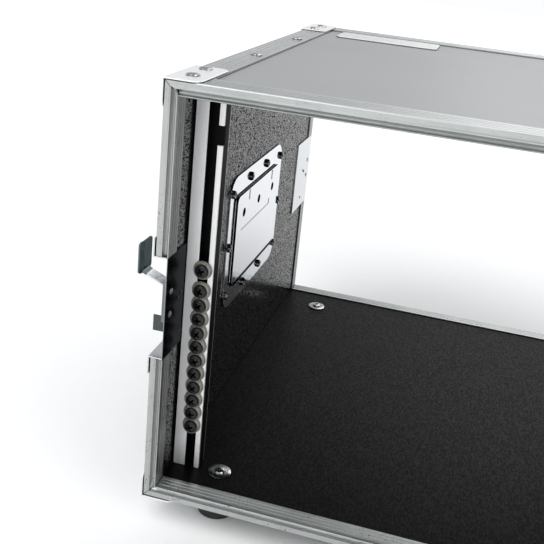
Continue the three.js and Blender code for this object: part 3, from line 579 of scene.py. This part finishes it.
CUP_LEAN = 0.035
CUP_OFF = 0.0088 * CUP_LEAN * math.sqrt(2) + 0.00005
CUP = [(radius, height + CUP_OFF) for radius, height in (
    (0, 0), (0.0086, 0), (0.0088, 0.0004), (0.0086, 0.0009), (0.0076, 0.003), (0.0071, 0.0034),
    (0.0066, 0.003), (0.0052, 0.0012), (0, 0.001))]
HEAD = ((0, 0.0012), (0.0042, 0.0012), (0.0058, 0.003), (0.0061, 0.0037), (0.0057, 0.0052),
        (0.0042, 0.0063), (0.0022, 0.0068), (0, 0.0069))
NUT = ((0, -0.0082), (0.0062, -0.0082), (0.0066, -0.0078), (0.0066, -0.0027), (0.0062, -0.0023),
       (0, -0.0023))
SHANK = ((0, -0.0085), (0.0026, -0.0085), (0.0029, -0.008), (0.0029, 0.0013), (0, 0.0013))
for side, sx in SIDES:
    rail_low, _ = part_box(f"rack_rail_{side}")
    spots = [((sx * SLOT_OUT, rail_low.y, case_low.z + height), (0, -1, 0)) for height in SCREW_HEIGHTS]
    body = f"rack_screws_{side}"
    heads = spread(f"screw_heads_{side}", recessed("head", HEAD, 32, 0.0094, 0.003), spots, black, body,
                   0.03, seed=5)
    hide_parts(body)
    spread(f"screw_shanks_{side}", turned("shank", SHANK, 16), spots, black, body, 0.0)
    spread(f"cup_washers_{side}", turned("cup", CUP, 32), spots, milky, body,
           CUP_LEAN, seed=8)
    spread(f"sliding_nuts_{side}", turned("nut", NUT, 4), spots, rivet_steel, body,
           0.0, 0.0)

# ---- Twist latches --------------------------------------------------------------------------------
# A pressed steel dish sunk in the edging holds a spindle whose crank draws a hook plate; a folding
# wing on the spindle is what the hand turns. Everything is pressed, riveted and bright zinc plated.

dish_steel = metal("zinc_dish", (0.53, 0.55, 0.57), (0.64, 0.66, 0.68), 0.1, (1, 1, 0.4), 0.15, 0.06)
wing_steel = metal("zinc_wing", (0.62, 0.64, 0.65), (0.8, 0.81, 0.82), 0.16, (1, 1, 0.25), 0.25, 0.1)
# The outer part of each wing is painted dark grey-green: painted shade of one facet.
grip_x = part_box("latch_wing_front_right")[1].x - 0.006
darkened(wing_steel,
         lambda tree, own: between(tree, maths(tree, "ABSOLUTE", own[0]), grip_x - 0.001, grip_x),
         (0.07, 0.095, 0.092), 0.93, (0.5, 0.53, 0.53))
# The hooks are bright zinc like the rest, painted dark: painted reflection of the dark inside.
hook_steel = metal("zinc_hook", (0.12, 0.14, 0.135), (0.24, 0.26, 0.255), 0.2, (1, 1, 0.4), 0.3, 0.3)
front_dish_steel = metal("zinc_front_dish", (0.53, 0.55, 0.57), (0.64, 0.66, 0.68), 0.2, (1, 1, 0.4), 0.15, 0.06)
turn_steel = metal("zinc_turn", (0.53, 0.55, 0.57), (0.64, 0.66, 0.68), 0.1, (1, 1, 0.4), 0.15, 0.06)
# The spindle's lower tab is painted dark grey-green: painted shade.
tab_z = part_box("latch_spindle_front_right")[0].z + 0.016
darkened(turn_steel, lambda tree, own: between(tree, own[2], tab_z, tab_z + 0.001, 1, 0),
         (0.05, 0.065, 0.062), 0.95, (0.45, 0.48, 0.47))
# The floor of each front dish is painted near-black: painted reflection of the dark inside of the case.
low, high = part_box("latch_dish_front_right")
darkened(front_dish_steel, lambda tree, own: between(tree, maths(tree, "ABSOLUTE", own[0]), low.x + 0.0004,
                                                low.x + 0.0012, 1, 0), (0.03, 0.033, 0.034),
         1.0, (0.487, 0.494, 0.498))
bright_studs = metal("zinc_studs", (0.3, 0.3, 0.29), (0.8, 0.8, 0.78), 0.3, (1, 1, 1), 0.6, 0.5)
PIN = ((0, -0.0106), (0.0018, -0.0106), (0.0021, -0.0103), (0.0021, -0.0094), (0.0012, -0.0094),
       (0.0012, 0.0094), (0.0021, 0.0094), (0.0021, 0.0103), (0.0018, 0.0106), (0, 0.0106))
STUD = ((0, -0.0004), (0.0029, -0.0004), (0.0029, 0.0004), (0.0022, 0.0009), (0, 0.0011))
SPINDLE_BACK = 0.032
HINGE_IN = 0.0026
HINGE_UP = 0.009
STUDS = ((0.010, 0.0142), (0.010, -0.0075))
HOLE_SHADES = ((0.033, 0.0045), (0.027, 0.0015), (0.034, -0.034))
FLANGE_RIVETS = [(back, up) for back in (0.010, 0.053, 0.079) for up in (-0.0545, 0.0545)]
for end, ey in ENDS:
    for side, sx in SIDES:
        here = f"{end}_{side}"
        softened(f"latch_dish_{here}", 0.0004, front_dish_steel if end == "front" else dish_steel)
        softened(f"latch_spindle_{here}", 0.0003, turn_steel)
        softened(f"latch_hook_{here}", 0.0003, hook_steel)
        softened(f"latch_wing_{here}", 0.0003, wing_steel)
        low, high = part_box(f"latch_dish_{here}")
        middle = (low.z + high.z) / 2
        edge_y = ey * half_y
        inner_x = sx * min(abs(low.x), abs(high.x))
        hinge = (sx * (half_x - HINGE_IN), edge_y - ey * SPINDLE_BACK, middle + HINGE_UP)
        spread(f"wing_pin_{here}", turned("pin", PIN, 16), [(hinge, (0, 1, 0))], rivet_steel,
               f"latch_spindle_{here}", 0.0, 0.0)
        # The holes in each dish are drawn as small black studs: painted shade in the holes.
        for kind, size, finish, marks in (
                ("studs", 1.0, bright_studs, STUDS), ("sockets", 0.55, black, HOLE_SHADES)):
            profile = [(radius * size, height * size) for radius, height in STUD]
            spots = [((inner_x, edge_y - ey * back, middle + up), (-sx, 0, 0)) for back, up in marks]
            spread(f"dish_{kind}_{here}", turned("stud", profile, 20), spots, finish, "case",
                   0.04)
        flange = [((sx * (half_x + SKIN_OUT), edge_y - ey * back, middle + up), (sx, 0, 0))
                  for back, up in FLANGE_RIVETS]
        spread(f"latch_rivets_{here}", turned("rivet", DOME), flange, rivet_steel, "case",
               0.05, seed=11)

# ---- Handle dishes and back plates ------------------------------------------------------------------
# A deep drawn dish is let into each wall from outside and a pressed plate backs it from inside; bolts
# run through both, and their square riveted ends show on the plate. Bright zinc, with three holes.

plate_steel = metal("zinc_plate", (0.7, 0.715, 0.74), (0.79, 0.803, 0.825), 0.09, (1, 1, 0.5), 0.1, 0.03)
bolt_ends = metal("bolt_ends", (0.05, 0.052, 0.052), (0.26, 0.27, 0.27), 0.2, (1, 1, 1), 1.0, 0.7)
plate_low, plate_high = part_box("handle_back_plate_left")
plate_middle = (plate_low.z + plate_high.z) / 2
PAN_HALF_L, PAN_HALF_H = 0.075, 0.0485


def pan_outline(tree, own):
    """The folds of the raised pan and its rolled lower edge, painted near-black: painted shade."""
    inward = maths(tree, "ABSOLUTE", own[0])
    fold = band(tree, inward, half_x - 0.0149, half_x - 0.0125, 0.0001)
    up = maths(tree, "SUBTRACT", own[2], plate_middle)
    lower = band(tree, up, -PAN_HALF_H - 0.0026, -PAN_HALF_H + 0.0026)
    ledge = maths(tree, "MULTIPLY", lower, band(tree, own[1], -PAN_HALF_L, PAN_HALF_L))
    return maths(tree, "MAXIMUM", fold, ledge)


darkened(plate_steel, pan_outline, (0.001, 0.001, 0.001))
THROUGH = [(y, z) for y in (-0.0295, 0.0295) for z in (-0.0613, 0.0613)]
THROUGH += [(y, z) for y in (-0.088, 0.088) for z in (-0.0546, 0.0567)] + [(-0.091, 0.0), (0.091, 0.0)]
COLLAR = ((0, -0.0005), (0.0042, -0.0005), (0.0044, 0.0004), (0.0042, 0.0022), (0.0034, 0.003),
          (0.0021, 0.0028), (0.0018, 0.0022), (0, 0.0021))
BEAD = 0.0004
FLANGE_IN = 0.0123
FOLDS = (((-0.009, 0.010), (0.05, 0.0005)), ((-0.037, 0.0435), (0.0015, 0.0055)),
         ((0.048, 0.0435), (0.0015, 0.0055)), ((0.043, 0.013), (0.0014, 0.0028)))
for side, sx in SIDES:
    softened(f"handle_dish_{side}", 0.0004, dish_steel)
    softened(f"handle_back_plate_{side}", 0.0004, plate_steel)
    low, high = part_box(f"handle_back_plate_{side}")
    middle = (low.z + high.z) / 2
    plate_x = sx * (half_x - FLANGE_IN)
    pan_x = sx * min(abs(low.x), abs(high.x))
    spots = [((plate_x, y, middle + z), (-sx, 0, 0)) for y, z in THROUGH]
    spread(f"handle_collars_{side}", turned("collar", COLLAR, 32, 0.09), spots, bolt_ends, "case",
           0.05, 0.25, 4)
    dish_low, dish_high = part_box(f"handle_dish_{side}")
    head_x = sx * max(abs(dish_low.x), abs(dish_high.x))
    heads = [((head_x, y, middle + z), (sx, 0, 0)) for y, z in THROUGH]
    spread(f"handle_rivets_{side}", turned("rivet", DOME), heads, rivet_steel, "case",
           0.05, seed=14)
    form = bmesh.new()
    for centre, reach in FOLDS:
        for vertex in bmesh.ops.create_cube(form, size=2)["verts"]:
            vertex.co = Vector((pan_x - sx * BEAD * (0.4 + vertex.co.x * 0.6),
                                centre[0] + vertex.co.y * reach[0],
                                middle + centre[1] + vertex.co.z * reach[1]))
    bmesh.ops.recalc_face_normals(form, faces=form.faces)
    bmesh.ops.bevel(form, geom=form.edges[:], offset=0.00012, segments=2, affect="EDGES")
    mesh = bpy.data.meshes.new(f"pan_folds_{side}")
    form.to_mesh(mesh)
    form.free()
    mesh.materials.append(rivet_steel)
    folds = bpy.data.objects.new(f"pan_folds_{side}", mesh)
    bpy.context.collection.objects.link(folds)
    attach(folds, "case")

# ---- Handle bails ---------------------------------------------------------------------------------
# A bent plated rod with a ribbed rubber grip moulded on it. A wound spring on each pivot end pulls the
# handle shut.

rubber, tree, shader, place = blank("grip_rubber")
dust = noise(tree, place, 260, 6, 0.7)
tree.links.new(blend(tree, between(tree, dust, 0.45, 0.75), (0.012, 0.012, 0.012), (0.06, 0.058, 0.055)),
               shader.inputs["Base Color"])
tree.links.new(between(tree, dust, 0.3, 0.7, 0.55, 0.8), shader.inputs["Roughness"])
bump(tree, shader, noise(tree, place, 1400, 4), 0.3, 0.0001)

ROD = 0.0034
BEND = 0.009
ROD_IN = 0.006
LEG_OUT = 0.058
DROP = 0.062
TURNS = 4.5
WIRE = 0.0006
COIL_PITCH = 0.0013
COIL_OUT = 0.0682
COIL_STEPS = 90
GRIP_HALF, GRIP_RADIUS, GRIP_RIBS = 0.046, 0.0054, 22


def rounded_route(corners, bend, steps=8):
    """Points along straight runs whose corners are rounded."""
    route = [corners[0]]
    for before, corner, after in zip(corners, corners[1:], corners[2:]):
        enter = corner + (before - corner).normalized() * bend
        leave = corner + (after - corner).normalized() * bend
        for i in range(steps + 1):
            t = i / steps
            route.append(enter * (1 - t) ** 2 + corner * 2 * t * (1 - t) + leave * t * t)
    return route + [corners[-1]]


def tube(name, route, radius, across, steps=20):
    """A closed round bar along a flat route; across is square to the plane that the route lies in."""
    points, faces = [], []
    for i, spot in enumerate(route):
        ahead = (route[min(i + 1, len(route) - 1)] - route[max(i - 1, 0)]).normalized()
        other = ahead.cross(across)
        for k in range(steps):
            angle = 2 * math.pi * k / steps
            points.append(spot + (across * math.cos(angle) + other * math.sin(angle)) * radius)
    for i in range(len(route) - 1):
        for k in range(steps):
            j = (k + 1) % steps
            faces.append((i * steps + k, (i + 1) * steps + k, (i + 1) * steps + j, i * steps + j))
    last = (len(route) - 1) * steps
    faces += [tuple(range(steps)), tuple(last + k for k in reversed(range(steps)))]
    mesh = bpy.data.meshes.new(name)
    mesh.from_pydata(points, [], faces)
    form = bmesh.new()
    form.from_mesh(mesh)
    bmesh.ops.recalc_face_normals(form, faces=form.faces)
    form.to_mesh(mesh)
    form.free()
    mesh.polygons.foreach_set("use_smooth", [True] * len(mesh.polygons))
    mesh.set_sharp_from_angle(angle=math.radians(50))
    made = bpy.data.objects.new(name, mesh)
    bpy.context.collection.objects.link(made)
    return made


def grip_profile(half, radius, ribs):
    """Ribs moulded round the grip, with rounded ends."""
    outline = [(0, -half), (radius * 0.8, -half), (radius * 0.95, -half + 0.0012)]
    pitch = (2 * half - 0.008) / ribs
    for i in range(ribs):
        start = -half + 0.004 + i * pitch
        outline += [(radius * 0.91, start), (radius, start + pitch * 0.2), (radius, start + pitch * 0.75),
                    (radius * 0.91, start + pitch * 0.95)]
    return outline + [(radius * 0.95, half - 0.0012), (radius * 0.8, half), (0, half)]


for side, sx in SIDES:
    low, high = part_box(f"handle_bail_{side}")
    plane_x = sx * (half_x - ROD_IN)
    pivot_z = high.z - ROD
    grip_z = pivot_z - DROP
    bends = ((low.y, pivot_z), (-LEG_OUT, pivot_z), (-LEG_OUT, grip_z),
             (LEG_OUT, grip_z), (LEG_OUT, pivot_z), (high.y, pivot_z))
    corners = [Vector((plane_x, y, z)) for y, z in bends]
    body = f"handle_bail_{side}"
    rod = tube(f"bail_rod_{side}", rounded_route(corners, BEND), ROD, Vector((1, 0, 0)))
    rod.data.materials.append(rivet_steel)
    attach(rod, body)
    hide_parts(body)
    spread(f"bail_grip_{side}", turned("grip", grip_profile(GRIP_HALF, GRIP_RADIUS, GRIP_RIBS), 28),
           [((plane_x, 0, grip_z), (0, 1, 0))], rubber, body, 0.0, 0.0)
    for way in (-1, 1):
        coil = []
        for k in range(COIL_STEPS + 1):
            angle = 2 * math.pi * TURNS * k / COIL_STEPS
            along = way * COIL_OUT + (angle / (2 * math.pi) - TURNS / 2) * COIL_PITCH
            coil.append(Vector((plane_x + math.cos(angle) * (ROD + WIRE), along,
                                pivot_z + math.sin(angle) * (ROD + WIRE))))
        end = "rear" if way > 0 else "front"
        spring = tube(f"handle_spring_{side}_{end}", coil, WIRE, Vector((0, 1, 0)), 8)
        spring.data.materials.append(rivet_steel)
        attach(spring, body)

# ---- Label plate ----------------------------------------------------------------------------------
# A blank bright plate with clipped corners, stuck to the roof near the rear edge.

label_metal = metal("label_metal", (0.68, 0.68, 0.69), (0.8, 0.8, 0.805), 0.3, (0.2, 1, 1), 0.4, 0.12)
softened("label_plate", 0.0003, label_metal)

# ---- Feet and foot bolts ----------------------------------------------------------------------------
# Round black rubber feet with a bolt sunk in each, screwed through the floor. Inside the case a
# broad steel washer and the bolt's cross head show on the floor at every foot.

FOOT = ((0, 0.0092), (0.0078, 0.0092), (0.008, 0.0088), (0.008, 0.0003), (0.0083, 0), (0.0178, 0),
        (0.0184, 0.0005), (0.0187, 0.0014), (0.0199, 0.0268), (0.02, 0.0278), (0.0196, 0.0288),
        (0.019, 0.029), (0, 0.029))
SUNK = ((0, 0.0068), (0.0048, 0.0068), (0.0052, 0.0074), (0.0074, 0.0078), (0.0074, 0.0093), (0, 0.0093))
WASHER = ((0, 0), (0.0108, 0), (0.011, 0.0003), (0.0109, 0.0013), (0.0104, 0.0016), (0.0052, 0.0016),
          (0, 0.0016))
BOLT = ((0, 0.0012), (0.0052, 0.0012), (0.0053, 0.0022), (0.0047, 0.0034), (0.003, 0.0041), (0, 0.0043))
floor_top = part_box("floor_panel")[1].z
inside_spots = []
for end, _ in ENDS:
    for side, _ in SIDES:
        low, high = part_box(f"foot_{end}_{side}")
        spot = ((low.x + high.x) / 2, (low.y + high.y) / 2, 0)
        foot = spread(f"rubber_foot_{end}_{side}", turned("foot", FOOT, 48), [(spot, (0, 0, 1))], rubber,
                      "case", 0.0, 0.0)
        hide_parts(f"foot_{end}_{side}")
        spread(f"foot_washer_{end}_{side}", turned("sunk", SUNK, 24), [(spot, (0, 0, 1))], rivet_steel,
               "case", 0.0, 0.0)
        inside_spots.append(((spot[0], spot[1], floor_top), (0, 0, 1)))
spread("floor_washers", turned("washer", WASHER, 40), inside_spots, rivet_steel, "case",
       0.0, seed=2)
spread("floor_bolts", recessed("bolt", BOLT, 28, 0.0052, 0.0016), inside_spots, rivet_steel, "case",
       0.02, seed=9)
